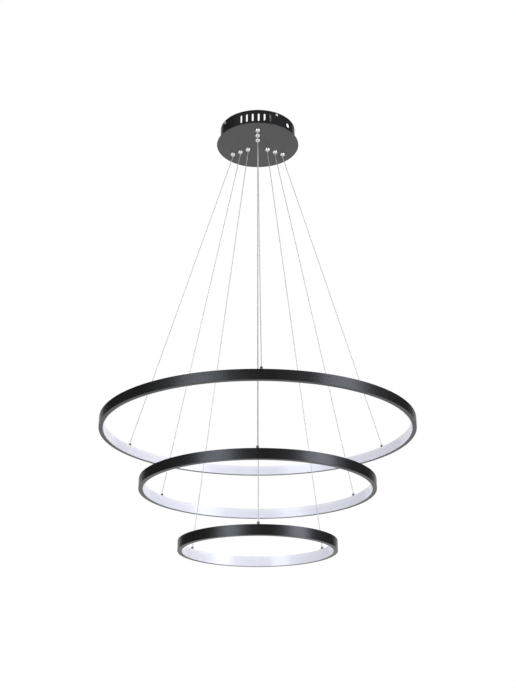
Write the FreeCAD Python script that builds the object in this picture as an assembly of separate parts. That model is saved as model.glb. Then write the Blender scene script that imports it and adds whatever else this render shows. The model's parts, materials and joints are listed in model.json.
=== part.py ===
import FreeCAD, Part
import math
import os

# A ring chandelier: three level light rings, one under the other, hang on nine steel wires from a
# round ceiling canopy. Millimetres, +Z up. The origin is the centre of the canopy in the plane of the
# ceiling, so the whole lamp lies below Z = 0. Angles are counted from +X, and -Y is the near side.

Vector = FreeCAD.Vector
UP = Vector(0, 0, 1)

# ---- rings: outer diameter, height of the underside below the ceiling, where the wires start, and
# how many degrees the ring hangs turned from its grippers, which fans the near wires out a little
RINGS = {
    "large": {"diameter": 800.0, "drop": 900.0, "gripper_radius": 82.0, "turn": 1.2},
    "medium": {"diameter": 590.0, "drop": 1050.0, "gripper_radius": 57.0, "turn": 0.0},
    "small": {"diameter": 390.0, "drop": 1200.0, "gripper_radius": 32.0, "turn": 0.5},
}
WIRE_ANGLES = {"near": -90.0, "right": 30.0, "left": 150.0}

RING_HEIGHT = 25.0
RING_DEPTH = 12.0  # radial, over the profile and the diffuser
PROFILE_WALL = 1.5
PROFILE_EDGE = 0.4  # chamfer on the outer edges
PROFILE_JOINT = 0.4  # gap where the two ends of the rolled profile meet
JOINT_ANGLE = 90.0

DIFFUSER_WALL = 1.2
DIFFUSER_LEG = 1.3  # how far the clip legs reach into the channel
LEG_CLEARANCE = 0.1

STRIP_WIDTH = 10.0
STRIP_THICKNESS = 0.5
STRIP_GLUE = 0.5  # foam tape
LIGHT_LINE_WIDTH = 3.0
LIGHT_LINE_FACE = 2.1
LIGHT_LINE_HEIGHT = 0.8

SPLICE_LENGTH = 50.0
SPLICE_WIDTH = 5.6
SPLICE_THICKNESS = 1.5
SPLICE_WALL_GAP = 0.7
SPLICE_SCREW_DIAMETER = 2.5
SPLICE_SCREW_HEAD = 4.5
SPLICE_SCREW_HEAD_HEIGHT = 1.4
SPLICE_SCREW_TIP = 0.5  # past the splice plate
SPLICE_SCREW_RECESS = 1.8
SPLICE_SCREW_RECESS_DEPTH = 0.7
SPLICE_SCREW_SPACING = 26.0

# ---- wire fittings on top of the rings
FITTING_DIAMETER = 6.5
FITTING_HEIGHT = 7.0
FITTING_EDGE = 0.8
FITTING_BORE_DEPTH = 5.0
FITTING_SHANK = 3.0
FITTING_SHANK_LENGTH = 5.0  # below the shoulder
FITTING_NUT_WIDTH = 5.5
FITTING_NUT_HEIGHT = 2.4

# ---- wires
WIRE_DIAMETER = 2.0
WIRE_BEND_RADIUS = 8.0
WIRE_STRAIGHT = 1.0  # length that runs on straight past a mouth before the bend starts
WIRE_END_GAP = 0.5
BORE_CLEARANCE = 0.1  # radial, round a wire

# ---- canopy
CANOPY_HEIGHT = 50.0  # ceiling to the underside of the base plate
PLATE_DIAMETER = 230.0
PLATE_THICKNESS = 2.0
PLATE_EDGE = 0.6
DRUM_DIAMETER = 210.0
DRUM_WALL = 1.2
DRUM_FLANGE_WIDTH = 13.0
RIM_GAP = 0.5  # drum rim to ceiling

VENT_COUNT = 6
VENT_WIDTH = 5.0
VENT_HEIGHT = 24.0
VENT_PITCH = 9.0  # degrees
VENT_CENTRE_ANGLE = -93.0
CABLE_HOLE_DIAMETER = 13.0
CABLE_HOLE_ANGLE = -37.0

BRACKET_ANGLES = (-60.0, 30.0, 120.0, 210.0)
BRACKET_THICKNESS = 2.0
BRACKET_ARM_WIDTH = 20.0
BRACKET_HUB_DIAMETER = 56.0
BRACKET_DRUM_GAP = 0.8  # tab to the inside of the drum wall, on the arm's middle line
TAB_HEIGHT = 16.0
CEILING_HOLE_DIAMETER = 5.2
CEILING_HOLE_CIRCLE = 70.0  # pitch circle diameter

SIDE_SCREW_DROP = 8.0  # below the ceiling
SIDE_SCREW_DIAMETER = 4.0
SIDE_SCREW_LENGTH = 9.0
SIDE_SCREW_HEAD = 8.0
SIDE_SCREW_HEAD_HEIGHT = 2.6
SIDE_SCREW_HEAD_ROUND = 1.2
SIDE_SCREW_RECESS = 2.9
SIDE_SCREW_RECESS_DEPTH = 1.3
SCREW_CLEARANCE = 0.5  # on the diameter of a clearance hole
THREAD_GAP = 0.04  # on the diameter, between a plain shank and its tapped hole
NUT_BEVEL_DROP = 0.12  # how far a nut's corners are turned down, as a share of its width
NUT_FACE_RADIUS = 0.52  # of the flat face left on top, as a share of its width

STUD_ANGLES = (90.0, -30.0, 210.0)
STUD_DIAMETER = 4.0
STUD_HEIGHT = 8.0  # above the base plate
STUD_NUT_WIDTH = 7.0
STUD_NUT_HEIGHT = 3.2
STUD_NUT_ROOM = 1.5  # corners of the nut to the inside of the drum wall
EARTH_STUD_PLACE = (0.0, 46.0)
EARTH_LUG_DIAMETER = 9.0
EARTH_LUG_THICKNESS = 0.8
EARTH_LUG_TAIL = 11.0
EARTH_LUG_TAIL_WIDTH = 3.2

# ---- wire grippers
GRIPPER_THREAD = 10.0
GRIPPER_HEIGHT = 18.0  # threaded body above the top of the base plate
GRIPPER_EDGE = 0.8
GRIPPER_CAVITY = 7.0
GRIPPER_CAVITY_ROOF = 6.0  # solid top of the body, above the cavity
GRIPPER_PLATE_HOLE = 10.4
CAP_DIAMETER = 14.0
CAP_HEIGHT = 5.0
CAP_SOCKET_DEPTH = 2.0
CAP_FLOOR = 2.0
CAP_SIDE = 2.2  # straight part of the cap's side
CAP_NOSE_DIAMETER = 8.0  # flat end of the dome
CAP_DOME_STEPS = 6
WASHER_DIAMETER = 16.0
WASHER_THICKNESS = 1.0
LOCKNUT_WIDTH = 13.0
LOCKNUT_HEIGHT = 4.0
PLUNGER_HEAD = 6.6
PLUNGER_HEAD_HEIGHT = 6.0
PLUNGER_NECK = 5.0
PLUNGER_NECK_CLEARANCE = 0.1  # radial, in the floor of the cap
PLUNGER_REACH = 4.0  # below the cap
PLUNGER_EDGE = 0.6
PLUNGER_SEAT_GAP = 0.1
SPRING_WIRE = 0.6
SPRING_DIAMETER = 6.2  # outer
SPRING_TURNS = 5
STOP_DIAMETER = 4.2
STOP_HEIGHT = 5.0
STOP_BORE_DEPTH = 3.0
STOP_GAP = 0.2

# ---- electrical gear in the canopy
DRIVER_ANGLES = (-30.0, 210.0)
DRIVER_RADIUS = 62.0
DRIVER_LENGTH = 96.0
DRIVER_WIDTH = 32.0
DRIVER_HEIGHT = 22.0
DRIVER_WALL = 1.5
DRIVER_COVER = 1.5
DRIVER_CORNER = 3.0
BOARD_LIFT = 3.0
BOARD_THICKNESS = 1.6
BOARD_GAP = 0.5
BOARD_PILLAR_DIAMETER = 6.0
BOARD_PILLAR_INSET = 3.0
SOLDER_DEPTH = 1.0  # how far a part on the board reaches into it
# parts on the board: half width and half length or radius, place across and along, share of the height
BOARD_BLOCKS = ((9.0, 9.0, 0.0, 0.0, 0.9), (6.0, 5.0, -1.0, -23.0, 0.6))
BOARD_CANS = ((9.0, -4.0, 20.0, 1.0), (7.0, 6.0, 24.0, 0.8))
COVER_SCREW_INSET = 7.0
COVER_SCREW_DIAMETER = 2.5
COVER_SCREW_LENGTH = 7.0
COVER_SCREW_HOLE_DEPTH = 8.0
COVER_SCREW_HEAD = 4.5
COVER_SCREW_HEAD_HEIGHT = 1.2
COVER_SCREW_RECESS = 1.8
COVER_SCREW_RECESS_DEPTH = 0.6
TERMINAL_LENGTH = 44.0
TERMINAL_WIDTH = 20.0
TERMINAL_HEIGHT = 16.0
TERMINAL_Y = 70.0
TERMINAL_POLES = 3
TERMINAL_EDGE = 1.2
TERMINAL_GROOVE = 1.6
TERMINAL_GROOVE_DEPTH = 5.0
TERMINAL_SCREW = 4.0
TERMINAL_SCREW_LENGTH = 3.0
TERMINAL_SCREW_DEPTH = 5.0
TERMINAL_SCREW_ROW = 6.0  # screw rows, each side of the middle
TERMINAL_SLOT_WIDTH = 0.8
TERMINAL_SLOT_DEPTH = 0.9
LEAD_DIAMETER = 2.4
LEAD_BEND_RADIUS = 4.0
LEAD_TRACK_RADIUS = 96.0  # the leads run round inside the drum at this radius
LEAD_TRACK_ANGLES = (57.0, 42.0, 27.0)
LEAD_LEVELS = (3.5, 7.0)  # middle of each supply lead above the base plate
LEAD_OUT = 11.0  # straight run out of the terminal block
LEAD_IN = 12.0  # straight run into a driver
OUTPUT_LEAD_LEVEL = -15.0
OUTPUT_LEAD_ACROSS = 30.0
OUTPUT_LEAD_SPREAD = 8.0

# ---- worked out from the sizes above
HEXAGON_CORNER = 0.5 / math.cos(math.radians(30))  # to a corner, for each unit across the flats
PLATE_BOTTOM = -CANOPY_HEIGHT
PLATE_TOP = PLATE_BOTTOM + PLATE_THICKNESS
DRUM_RADIUS = DRUM_DIAMETER / 2
DRUM_INSIDE = DRUM_RADIUS - DRUM_WALL
DRUM_MIDDLE = (PLATE_TOP - RIM_GAP) / 2
WALL_CUT = 10.0  # how far a cutting tool runs past a wall
STUD_RADIUS = DRUM_INSIDE - STUD_NUT_WIDTH * HEXAGON_CORNER - STUD_NUT_ROOM
GRIPPER_TOP = PLATE_TOP + GRIPPER_HEIGHT
CAP_BOTTOM = PLATE_BOTTOM - CAP_HEIGHT
SEAT = CAP_BOTTOM + CAP_FLOOR
PLUNGER_HEAD_BOTTOM = SEAT + PLUNGER_SEAT_GAP
PLUNGER_HEAD_TOP = PLUNGER_HEAD_BOTTOM + PLUNGER_HEAD_HEIGHT
PLUNGER_MOUTH = CAP_BOTTOM - PLUNGER_REACH
CAVITY_TOP = GRIPPER_TOP - GRIPPER_CAVITY_ROOF
BORE_RADIUS = WIRE_DIAMETER / 2 + BORE_CLEARANCE
STOP_BOTTOM = GRIPPER_TOP + STOP_GAP
STOP_TOP = STOP_BOTTOM + STOP_HEIGHT
DRIVER_BOTTOM = PLATE_TOP
DRIVER_TOP = DRIVER_BOTTOM + DRIVER_HEIGHT


def polar(radius, angle, z=0.0):
    a = math.radians(angle)
    return Vector(radius * math.cos(a), radius * math.sin(a), z)


def turned(shape, angle):
    """A copy of the shape, turned about the Z axis through the origin."""
    copy = shape.copy()
    copy.rotate(Vector(0, 0, 0), UP, angle)
    return copy


def moved(shape, place):
    copy = shape.copy()
    copy.translate(place)
    return copy


def revolved(outline):
    """The solid that a closed (radius, z) outline makes when it is turned about the Z axis."""
    points = [Vector(r, 0, z) for r, z in outline]
    face = Part.Face(Part.makePolygon(points + points[:1]))
    return face.revolve(Vector(0, 0, 0), UP, 360)


def rod(diameter, low, high, x=0.0, y=0.0):
    """An upright cylinder between two heights."""
    return Part.makeCylinder(diameter / 2, high - low, Vector(x, y, low), UP)


def radial_rod(diameter, start, end, angle, z):
    """A cylinder along a radius, between two distances from the Z axis."""
    direction = polar(1, angle)
    return Part.makeCylinder(diameter / 2, end - start, polar(start, angle, z), direction)


def box(low, high):
    size = high - low
    return Part.makeBox(size.x, size.y, size.z, low)


def hexagon(width, low, high):
    """An upright hexagonal prism of that width across the flats."""
    corner = width * HEXAGON_CORNER
    points = [polar(corner, 30 + 60 * k, low) for k in range(7)]
    return Part.Face(Part.makePolygon(points)).extrude(Vector(0, 0, high - low))


def nut(width, hole, low, high):
    """A hexagon nut whose top corners are turned down."""
    corner = width * HEXAGON_CORNER
    dome = revolved([(0, low), (corner, low), (corner, high - NUT_BEVEL_DROP * width),
                     (NUT_FACE_RADIUS * width, high), (0, high)])
    return hexagon(width, low, high).common(dome).cut(rod(hole, low - 1, high + 1))


def bent_path(points, radius):
    """Straight runs between the points, joined by tangent arcs. Also gives the path's length."""
    edges = []
    start = points[0]
    for before, corner, after in zip(points, points[1:], points[2:]):
        into = (corner - before).normalize()
        out = (after - corner).normalize()
        turn = into.getAngle(out)
        back = radius * math.tan(turn / 2)
        first = corner - into * back
        last = corner + out * back
        inward = (out - into).normalize()
        middle = corner + inward * (radius / math.cos(turn / 2) - radius)
        edges.append(Part.LineSegment(start, first).toShape())
        edges.append(Part.Arc(first, middle, last).toShape())
        start = last
    edges.append(Part.LineSegment(start, points[-1]).toShape())
    path = Part.Wire(edges)
    return path, path.Length


def tube(points, diameter, radius):
    """A round solid along a bent path."""
    path, length = bent_path(points, radius)
    direction = points[1] - points[0]
    circle = Part.Wire(Part.makeCircle(diameter / 2, points[0], direction))
    solid = path.makePipeShell([circle], True, False)
    wanted = math.pi * diameter ** 2 / 4 * length
    if abs(solid.Volume / wanted - 1) > 0.01:
        raise ValueError("a tube's volume isn't its section times its length")
    return solid, length


# ---------------------------------------------------------------- canopy


def stud_places():
    """Where the welded studs stand on the base plate: three for the drum and one for the earth lug."""
    places = [polar(STUD_RADIUS, angle) for angle in STUD_ANGLES]
    return places + [Vector(*EARTH_STUD_PLACE, 0)]


def gripper_places():
    """(ring, wire, middle) of each of the nine grippers."""
    return [(ring, wire, polar(size["gripper_radius"], angle))
            for ring, size in RINGS.items() for wire, angle in WIRE_ANGLES.items()]


def at_grippers(shape):
    """Nine copies of a shape made on the Z axis, one at each gripper."""
    return [moved(turned(shape, WIRE_ANGLES[wire]), place) for _, wire, place in gripper_places()]


def ceiling_bracket():
    """A pressed cross with a tab turned down at the end of each arm."""
    tab_outside = DRUM_INSIDE - BRACKET_DRUM_GAP
    tab_inside = tab_outside - BRACKET_THICKNESS
    half = BRACKET_ARM_WIDTH / 2
    shape = rod(BRACKET_HUB_DIAMETER, -BRACKET_THICKNESS, 0)
    for angle in BRACKET_ANGLES:
        arm = box(Vector(0, -half, -BRACKET_THICKNESS), Vector(tab_outside, half, 0))
        tab = box(Vector(tab_inside, -half, -TAB_HEIGHT), Vector(tab_outside, half, 0))
        shape = shape.fuse(turned(arm.fuse(tab), angle))
    shape = shape.removeSplitter()
    for angle in BRACKET_ANGLES:
        place = polar(CEILING_HOLE_CIRCLE / 2, angle)
        shape = shape.cut(rod(CEILING_HOLE_DIAMETER, -BRACKET_THICKNESS - 1, 1, place.x, place.y))
        shape = shape.cut(radial_rod(SIDE_SCREW_DIAMETER, tab_inside - 1, tab_outside + 1, angle,
                                     -SIDE_SCREW_DROP))
    return shape


def vent_slot(angle):
    """The tool that cuts one upright slot with round ends through the drum wall."""
    half = VENT_WIDTH / 2
    straight = VENT_HEIGHT / 2 - half
    start, end = DRUM_INSIDE - WALL_CUT, DRUM_RADIUS + WALL_CUT
    middle = box(Vector(start, -half, DRUM_MIDDLE - straight), Vector(end, half, DRUM_MIDDLE + straight))
    tool = turned(middle, angle)
    for z in (DRUM_MIDDLE - straight, DRUM_MIDDLE + straight):
        tool = tool.fuse(radial_rod(VENT_WIDTH, start, end, angle, z))
    return tool


def canopy_drum():
    """The drum wall with an inward flange that lies on the base plate."""
    top, bottom = -RIM_GAP, PLATE_TOP
    flange_inside = DRUM_RADIUS - DRUM_FLANGE_WIDTH
    shape = revolved([(flange_inside, bottom), (DRUM_RADIUS, bottom), (DRUM_RADIUS, top),
                      (DRUM_INSIDE, top), (DRUM_INSIDE, bottom + DRUM_WALL),
                      (flange_inside, bottom + DRUM_WALL)])
    for k in range(VENT_COUNT):
        shape = shape.cut(vent_slot(VENT_CENTRE_ANGLE + VENT_PITCH * (k - (VENT_COUNT - 1) / 2)))
    start, end = DRUM_INSIDE - WALL_CUT, DRUM_RADIUS + WALL_CUT
    shape = shape.cut(radial_rod(CABLE_HOLE_DIAMETER, start, end, CABLE_HOLE_ANGLE, DRUM_MIDDLE))
    for angle in BRACKET_ANGLES:
        shape = shape.cut(radial_rod(SIDE_SCREW_DIAMETER + SCREW_CLEARANCE, start, end, angle,
                                     -SIDE_SCREW_DROP))
    for angle in STUD_ANGLES:
        place = polar(STUD_RADIUS, angle)
        shape = shape.cut(rod(STUD_DIAMETER + SCREW_CLEARANCE, bottom - 1, bottom + DRUM_WALL + 1,
                              place.x, place.y))
    return shape


def canopy_base_plate():
    """The round plate under the drum, with its welded studs and nine gripper holes."""
    radius = PLATE_DIAMETER / 2
    shape = revolved([(0, PLATE_BOTTOM), (radius - PLATE_EDGE, PLATE_BOTTOM),
                      (radius, PLATE_BOTTOM + PLATE_EDGE), (radius, PLATE_TOP - PLATE_EDGE),
                      (radius - PLATE_EDGE, PLATE_TOP), (0, PLATE_TOP)])
    for place in stud_places():
        shape = shape.fuse(rod(STUD_DIAMETER, PLATE_TOP - PLATE_THICKNESS / 2,
                               PLATE_TOP + STUD_HEIGHT, place.x, place.y))
    for _, _, place in gripper_places():
        shape = shape.cut(rod(GRIPPER_PLATE_HOLE, PLATE_BOTTOM - 1, PLATE_TOP + 1, place.x, place.y))
    return shape


def stud_nuts():
    """Nuts on the three drum studs and on the earth stud."""
    seats = [PLATE_TOP + DRUM_WALL] * len(STUD_ANGLES) + [PLATE_TOP + EARTH_LUG_THICKNESS]
    return [moved(nut(STUD_NUT_WIDTH, STUD_DIAMETER + THREAD_GAP, seat, seat + STUD_NUT_HEIGHT), place)
            for seat, place in zip(seats, stud_places())]


def canopy_side_screws():
    """Pan head screws through the drum wall into the bracket's tabs."""
    head = radial_rod(SIDE_SCREW_HEAD, DRUM_RADIUS, DRUM_RADIUS + SIDE_SCREW_HEAD_HEIGHT, 0,
                      -SIDE_SCREW_DROP)
    outer = [e for e in head.Edges if abs(e.BoundBox.XMin - head.BoundBox.XMax) < 1e-6]
    head = head.makeFillet(SIDE_SCREW_HEAD_ROUND, outer)
    shank = radial_rod(SIDE_SCREW_DIAMETER - THREAD_GAP, DRUM_RADIUS - SIDE_SCREW_LENGTH,
                       DRUM_RADIUS + SIDE_SCREW_HEAD_HEIGHT / 2, 0, -SIDE_SCREW_DROP)
    top = DRUM_RADIUS + SIDE_SCREW_HEAD_HEIGHT
    recess = radial_rod(SIDE_SCREW_RECESS, top - SIDE_SCREW_RECESS_DEPTH, top + 1, 0, -SIDE_SCREW_DROP)
    screw = head.fuse(shank).cut(recess)
    return [turned(screw, angle) for angle in BRACKET_ANGLES]


# ---------------------------------------------------------------- wire grippers, each made on the Z axis


def gripper_body():
    """The threaded body that passes up through the base plate, with a cavity open at the bottom."""
    bottom = PLATE_BOTTOM - CAP_SOCKET_DEPTH
    radius = GRIPPER_THREAD / 2
    return revolved([(BORE_RADIUS, CAVITY_TOP), (GRIPPER_CAVITY / 2, CAVITY_TOP),
                     (GRIPPER_CAVITY / 2, bottom), (radius, bottom), (radius, GRIPPER_TOP - GRIPPER_EDGE),
                     (radius - GRIPPER_EDGE, GRIPPER_TOP), (BORE_RADIUS, GRIPPER_TOP)])


def gripper_cap():
    """The low dome under the base plate, screwed on the body and holding the plunger in."""
    outer, nose = CAP_DIAMETER / 2, CAP_NOSE_DIAMETER / 2
    socket = (GRIPPER_THREAD + THREAD_GAP) / 2
    hole = PLUNGER_NECK / 2 + PLUNGER_NECK_CLEARANCE
    socket_top = PLATE_BOTTOM - CAP_SOCKET_DEPTH
    shoulder = PLATE_BOTTOM - CAP_SIDE
    turns = [math.radians(90 * k / CAP_DOME_STEPS) for k in range(CAP_DOME_STEPS + 1)]
    dome = [(nose + (outer - nose) * math.cos(turn), shoulder - (shoulder - CAP_BOTTOM) * math.sin(turn))
            for turn in turns]
    return revolved([(socket, PLATE_BOTTOM), (outer, PLATE_BOTTOM)] + dome
                    + [(hole, CAP_BOTTOM), (hole, SEAT), (GRIPPER_CAVITY / 2, SEAT),
                       (GRIPPER_CAVITY / 2, socket_top), (socket, socket_top)])


def gripper_washer():
    return rod(WASHER_DIAMETER, PLATE_TOP, PLATE_TOP + WASHER_THICKNESS).cut(
        rod(GRIPPER_PLATE_HOLE, PLATE_TOP - 1, PLATE_TOP + WASHER_THICKNESS + 1))


def gripper_locknut():
    low = PLATE_TOP + WASHER_THICKNESS
    return nut(LOCKNUT_WIDTH, GRIPPER_THREAD + THREAD_GAP, low, low + LOCKNUT_HEIGHT)


def gripper_plunger():
    """The push-in nozzle: its head seats on the floor of the cap and its neck reaches out below."""
    head, neck = PLUNGER_HEAD / 2, PLUNGER_NECK / 2
    return revolved([(BORE_RADIUS, PLUNGER_MOUTH), (neck - PLUNGER_EDGE, PLUNGER_MOUTH),
                     (neck, PLUNGER_MOUTH + PLUNGER_EDGE), (neck, PLUNGER_HEAD_BOTTOM),
                     (head, PLUNGER_HEAD_BOTTOM), (head, PLUNGER_HEAD_TOP - PLUNGER_EDGE),
                     (head - PLUNGER_EDGE, PLUNGER_HEAD_TOP), (BORE_RADIUS, PLUNGER_HEAD_TOP)])


def gripper_spring():
    """The coil that pushes the plunger down, between its head and the roof of the cavity."""
    low = PLUNGER_HEAD_TOP + SPRING_WIRE / 2
    high = CAVITY_TOP - SPRING_WIRE / 2
    radius = (SPRING_DIAMETER - SPRING_WIRE) / 2

    def point(turns):
        return polar(radius, 360 * turns, low + (high - low) * turns / SPRING_TURNS)

    quarters = [(k / 4, k / 4 + 1 / 8, k / 4 + 1 / 4) for k in range(4 * SPRING_TURNS)]
    edges = [Part.Arc(*[point(turns) for turns in quarter]).toShape() for quarter in quarters]
    direction = edges[0].tangentAt(edges[0].FirstParameter)
    circle = Part.Wire(Part.makeCircle(SPRING_WIRE / 2, point(0), direction))
    return Part.Wire(edges).makePipeShell([circle], True, False)


def wire_stop():
    """The crimp on the tail of a wire, which joins it to its lead."""
    outer = STOP_DIAMETER / 2
    bore_top = STOP_BOTTOM + STOP_BORE_DEPTH
    return revolved([(BORE_RADIUS, STOP_BOTTOM), (outer, STOP_BOTTOM), (outer, STOP_TOP),
                     (0, STOP_TOP), (0, bore_top), (BORE_RADIUS, bore_top)])


# ---------------------------------------------------------------- electrical gear


def driver_block(low, high, inset=0.0):
    """A block on the X axis at the driver's place, with upright edges rounded."""
    length, width = DRIVER_LENGTH / 2 - inset, DRIVER_WIDTH / 2 - inset
    block = box(Vector(DRIVER_RADIUS - width, -length, low), Vector(DRIVER_RADIUS + width, length, high))
    upright = [e for e in block.Edges if e.BoundBox.ZLength > 1e-6]
    return block.makeFillet(max(DRIVER_CORNER - inset, 0.5), upright)


def cover_screw_places():
    return [Vector(DRIVER_RADIUS, side * (DRIVER_LENGTH / 2 - COVER_SCREW_INSET), 0) for side in (-1, 1)]


def driver_case():
    """The tray of a driver, open at the top, with a boss for each cover screw."""
    top = DRIVER_TOP - DRIVER_COVER
    case = driver_block(DRIVER_BOTTOM, top).cut(
        driver_block(DRIVER_BOTTOM + DRIVER_WALL, top + 1, DRIVER_WALL))
    for place in cover_screw_places():
        case = case.fuse(rod(COVER_SCREW_HEAD, DRIVER_BOTTOM + DRIVER_WALL / 2, top, place.x, place.y))
        case = case.cut(rod(COVER_SCREW_DIAMETER, top - COVER_SCREW_HOLE_DEPTH, top + 1, place.x, place.y))
    return case


def driver_cover():
    cover = driver_block(DRIVER_TOP - DRIVER_COVER, DRIVER_TOP)
    for place in cover_screw_places():
        cover = cover.cut(rod(COVER_SCREW_DIAMETER + SCREW_CLEARANCE, DRIVER_BOTTOM, DRIVER_TOP + 1,
                              place.x, place.y))
    return cover


def driver_board():
    """The circuit board with its transformer, capacitors and choke."""
    low = DRIVER_BOTTOM + DRIVER_WALL
    length = DRIVER_LENGTH / 2 - COVER_SCREW_INSET - COVER_SCREW_HEAD / 2 - BOARD_GAP
    width = DRIVER_WIDTH / 2 - DRIVER_WALL - BOARD_GAP
    top = low + BOARD_LIFT + BOARD_THICKNESS
    x = DRIVER_RADIUS
    board = box(Vector(x - width, -length, top - BOARD_THICKNESS), Vector(x + width, length, top))
    tall = DRIVER_TOP - DRIVER_COVER - BOARD_GAP - top
    foot = top - SOLDER_DEPTH
    for half_width, half_length, across, along, share in BOARD_BLOCKS:
        board = board.fuse(box(Vector(x + across - half_width, along - half_length, foot),
                               Vector(x + across + half_width, along + half_length, top + tall * share)))
    for diameter, across, along, share in BOARD_CANS:
        board = board.fuse(rod(diameter, foot, top + tall * share, x + across, along))
    for side in (-1, 1):
        board = board.fuse(rod(BOARD_PILLAR_DIAMETER, low, top, x, side * (length - BOARD_PILLAR_INSET)))
    return board


def driver_cover_screws():
    top = DRIVER_TOP
    screws = []
    for place in cover_screw_places():
        screw = rod(COVER_SCREW_HEAD, top, top + COVER_SCREW_HEAD_HEIGHT, place.x, place.y)
        screw = screw.fuse(rod(COVER_SCREW_DIAMETER - THREAD_GAP, top - COVER_SCREW_LENGTH,
                               top + COVER_SCREW_HEAD_HEIGHT / 2, place.x, place.y))
        head_top = top + COVER_SCREW_HEAD_HEIGHT
        screw = screw.cut(rod(COVER_SCREW_RECESS, head_top - COVER_SCREW_RECESS_DEPTH, head_top + 1,
                              place.x, place.y))
        screws.append(screw)
    return screws


def at_drivers(shapes):
    return [turned(shape, angle) for angle in DRIVER_ANGLES for shape in shapes]


def terminal_screw_places():
    pitch = TERMINAL_LENGTH / TERMINAL_POLES
    return [Vector(pitch * (k - (TERMINAL_POLES - 1) / 2), TERMINAL_Y + side * TERMINAL_SCREW_ROW, 0)
            for k in range(TERMINAL_POLES) for side in (-1, 1)]


def terminal_block():
    top = PLATE_TOP + TERMINAL_HEIGHT
    half = TERMINAL_LENGTH / 2
    low_y, high_y = TERMINAL_Y - TERMINAL_WIDTH / 2, TERMINAL_Y + TERMINAL_WIDTH / 2
    block = box(Vector(-half, low_y, PLATE_TOP), Vector(half, high_y, top))
    edges = [e for e in block.Edges if e.BoundBox.ZMin > top - 1e-6]
    block = block.makeFillet(TERMINAL_EDGE, edges)
    pitch = TERMINAL_LENGTH / TERMINAL_POLES
    for k in range(1, TERMINAL_POLES):
        x = -half + pitch * k
        block = block.cut(box(Vector(x - TERMINAL_GROOVE / 2, low_y - 1, top - TERMINAL_GROOVE_DEPTH),
                              Vector(x + TERMINAL_GROOVE / 2, high_y + 1, top + 1)))
    for place in terminal_screw_places():
        block = block.cut(rod(TERMINAL_SCREW + SCREW_CLEARANCE, top - TERMINAL_SCREW_DEPTH, top + 1,
                              place.x, place.y))
    return block


def terminal_screws():
    """Slotted screws, sunk in the block."""
    low = PLATE_TOP + TERMINAL_HEIGHT - TERMINAL_SCREW_DEPTH
    high = low + TERMINAL_SCREW_LENGTH
    screws = []
    for place in terminal_screw_places():
        screw = rod(TERMINAL_SCREW, low, high, place.x, place.y)
        slot = box(place + Vector(-TERMINAL_SCREW, -TERMINAL_SLOT_WIDTH / 2, high - TERMINAL_SLOT_DEPTH),
                   place + Vector(TERMINAL_SCREW, TERMINAL_SLOT_WIDTH / 2, high + 1))
        screws.append(screw.cut(slot))
    return screws


def earth_lug():
    """A ring lug under the nut of the earth stud, with its tail towards the terminal block."""
    x, y = EARTH_STUD_PLACE
    top = PLATE_TOP + EARTH_LUG_THICKNESS
    lug = rod(EARTH_LUG_DIAMETER, PLATE_TOP, top, x, y)
    half = EARTH_LUG_TAIL_WIDTH / 2
    lug = lug.fuse(box(Vector(x - half, y, PLATE_TOP), Vector(x + half, y + EARTH_LUG_TAIL, top)))
    return lug.cut(rod(STUD_DIAMETER + SCREW_CLEARANCE / 2, PLATE_TOP - 1, top + 1, x, y))


def input_leads():
    """Two supply leads from the terminal block to each driver, round the inside of the drum."""
    end_x = TERMINAL_LENGTH / 2
    across = polar(1, DRIVER_ANGLES[0] + 90)
    driver_end = polar(DRIVER_RADIUS, DRIVER_ANGLES[0]) + across * (DRIVER_LENGTH / 2)
    leads = []
    for level in LEAD_LEVELS:
        lift = Vector(0, 0, PLATE_TOP + level)
        route = [Vector(end_x, TERMINAL_Y, 0), Vector(end_x + LEAD_OUT, TERMINAL_Y, 0)]
        route += [polar(LEAD_TRACK_RADIUS, angle) for angle in LEAD_TRACK_ANGLES]
        route += [driver_end + across * LEAD_IN, driver_end]
        lead, _ = tube([p + lift for p in route], LEAD_DIAMETER, LEAD_BEND_RADIUS)
        leads += [lead, lead.mirror(Vector(0, 0, 0), Vector(1, 0, 0))]
    return leads


def output_leads():
    """Low-voltage leads that bridge from the drivers to the wires on the right and the left."""
    along, across = polar(1, DRIVER_ANGLES[0]), polar(1, DRIVER_ANGLES[0] + 90)
    leads = []
    for k, ring in enumerate(("small", "medium", "large")):
        start = along * (DRIVER_RADIUS + OUTPUT_LEAD_SPREAD * (k - 1)) + across * OUTPUT_LEAD_ACROSS
        end = polar(RINGS[ring]["gripper_radius"], WIRE_ANGLES["right"])
        route = [start + UP * DRIVER_TOP, start + UP * OUTPUT_LEAD_LEVEL,
                 end + UP * OUTPUT_LEAD_LEVEL, end + UP * STOP_TOP]
        lead, _ = tube(route, LEAD_DIAMETER, LEAD_BEND_RADIUS)
        leads += [lead, lead.mirror(Vector(0, 0, 0), Vector(1, 0, 0))]
    return leads


# ---------------------------------------------------------------- rings


def ring_levels(ring):
    bottom = -RINGS[ring]["drop"]
    return RINGS[ring]["diameter"] / 2, bottom, bottom + RING_HEIGHT


def ring_angles(ring):
    """Where the three wires meet the ring, which hangs turned a little from its grippers."""
    return {wire: angle + RINGS[ring]["turn"] for wire, angle in WIRE_ANGLES.items()}


def splice_turn(radius, length):
    """Half the angle, in degrees, that a length takes up on the ring."""
    return math.degrees(length / 2 / radius)


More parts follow.
